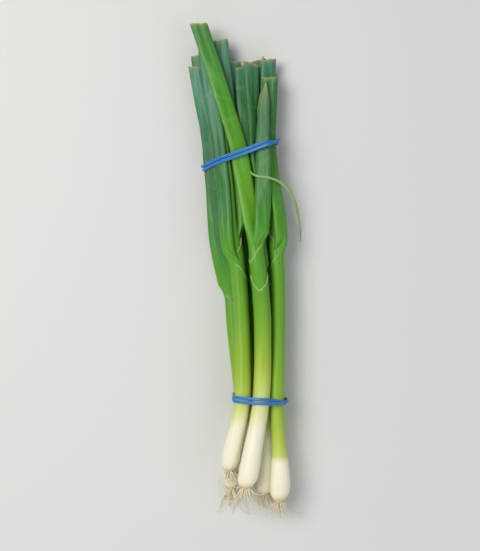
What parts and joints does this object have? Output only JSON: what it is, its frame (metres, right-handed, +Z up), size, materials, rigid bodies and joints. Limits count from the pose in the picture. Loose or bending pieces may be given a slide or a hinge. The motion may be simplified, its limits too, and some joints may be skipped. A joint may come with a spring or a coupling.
{
  "type": "spring onion bunch",
  "caption": "Bunch of spring onions lying down: rooted white bulbs, green necks and flattened leaves, held by doubled blue rubber bands.",
  "frame": {"origin": "middle of the bunch's bounding box, on the surface it lies on", "axes": "+Y along the bunch from the roots to the leaf tips, +X to the right seen from above with the tips away, +Z up"},
  "size_m": [0.0698, 0.3402, 0.0367],
  "materials": {
    "root_straw": "matte",
    "shank_white": "satin",
    "leaf_green": "satin",
    "band_rubber": "matte"
  },
  "bodies": {
    "root": {"onion_1_roots": "root_straw", "onion_1_shank": "shank_white", "onion_1_leaves": "leaf_green", "onion_2_roots": "root_straw", "onion_2_shank": "shank_white", "onion_2_leaves": "leaf_green", "onion_3_roots": "root_straw", "onion_3_shank": "shank_white", "onion_3_leaves": "leaf_green", "onion_4_roots": "root_straw", "onion_4_shank": "shank_white", "onion_4_leaves": "leaf_green", "onion_5_roots": "root_straw", "onion_5_shank": "shank_white", "onion_5_leaves": "leaf_green", "onion_6_roots": "root_straw", "onion_6_shank": "shank_white", "onion_6_leaves": "leaf_green", "onion_7_roots": "root_straw", "onion_7_shank": "shank_white", "onion_7_leaves": "leaf_green", "onion_8_roots": "root_straw", "onion_8_shank": "shank_white", "onion_8_leaves": "leaf_green", "band_lower": "band_rubber", "band_upper": "band_rubber"}
  },
  "joints": []
}
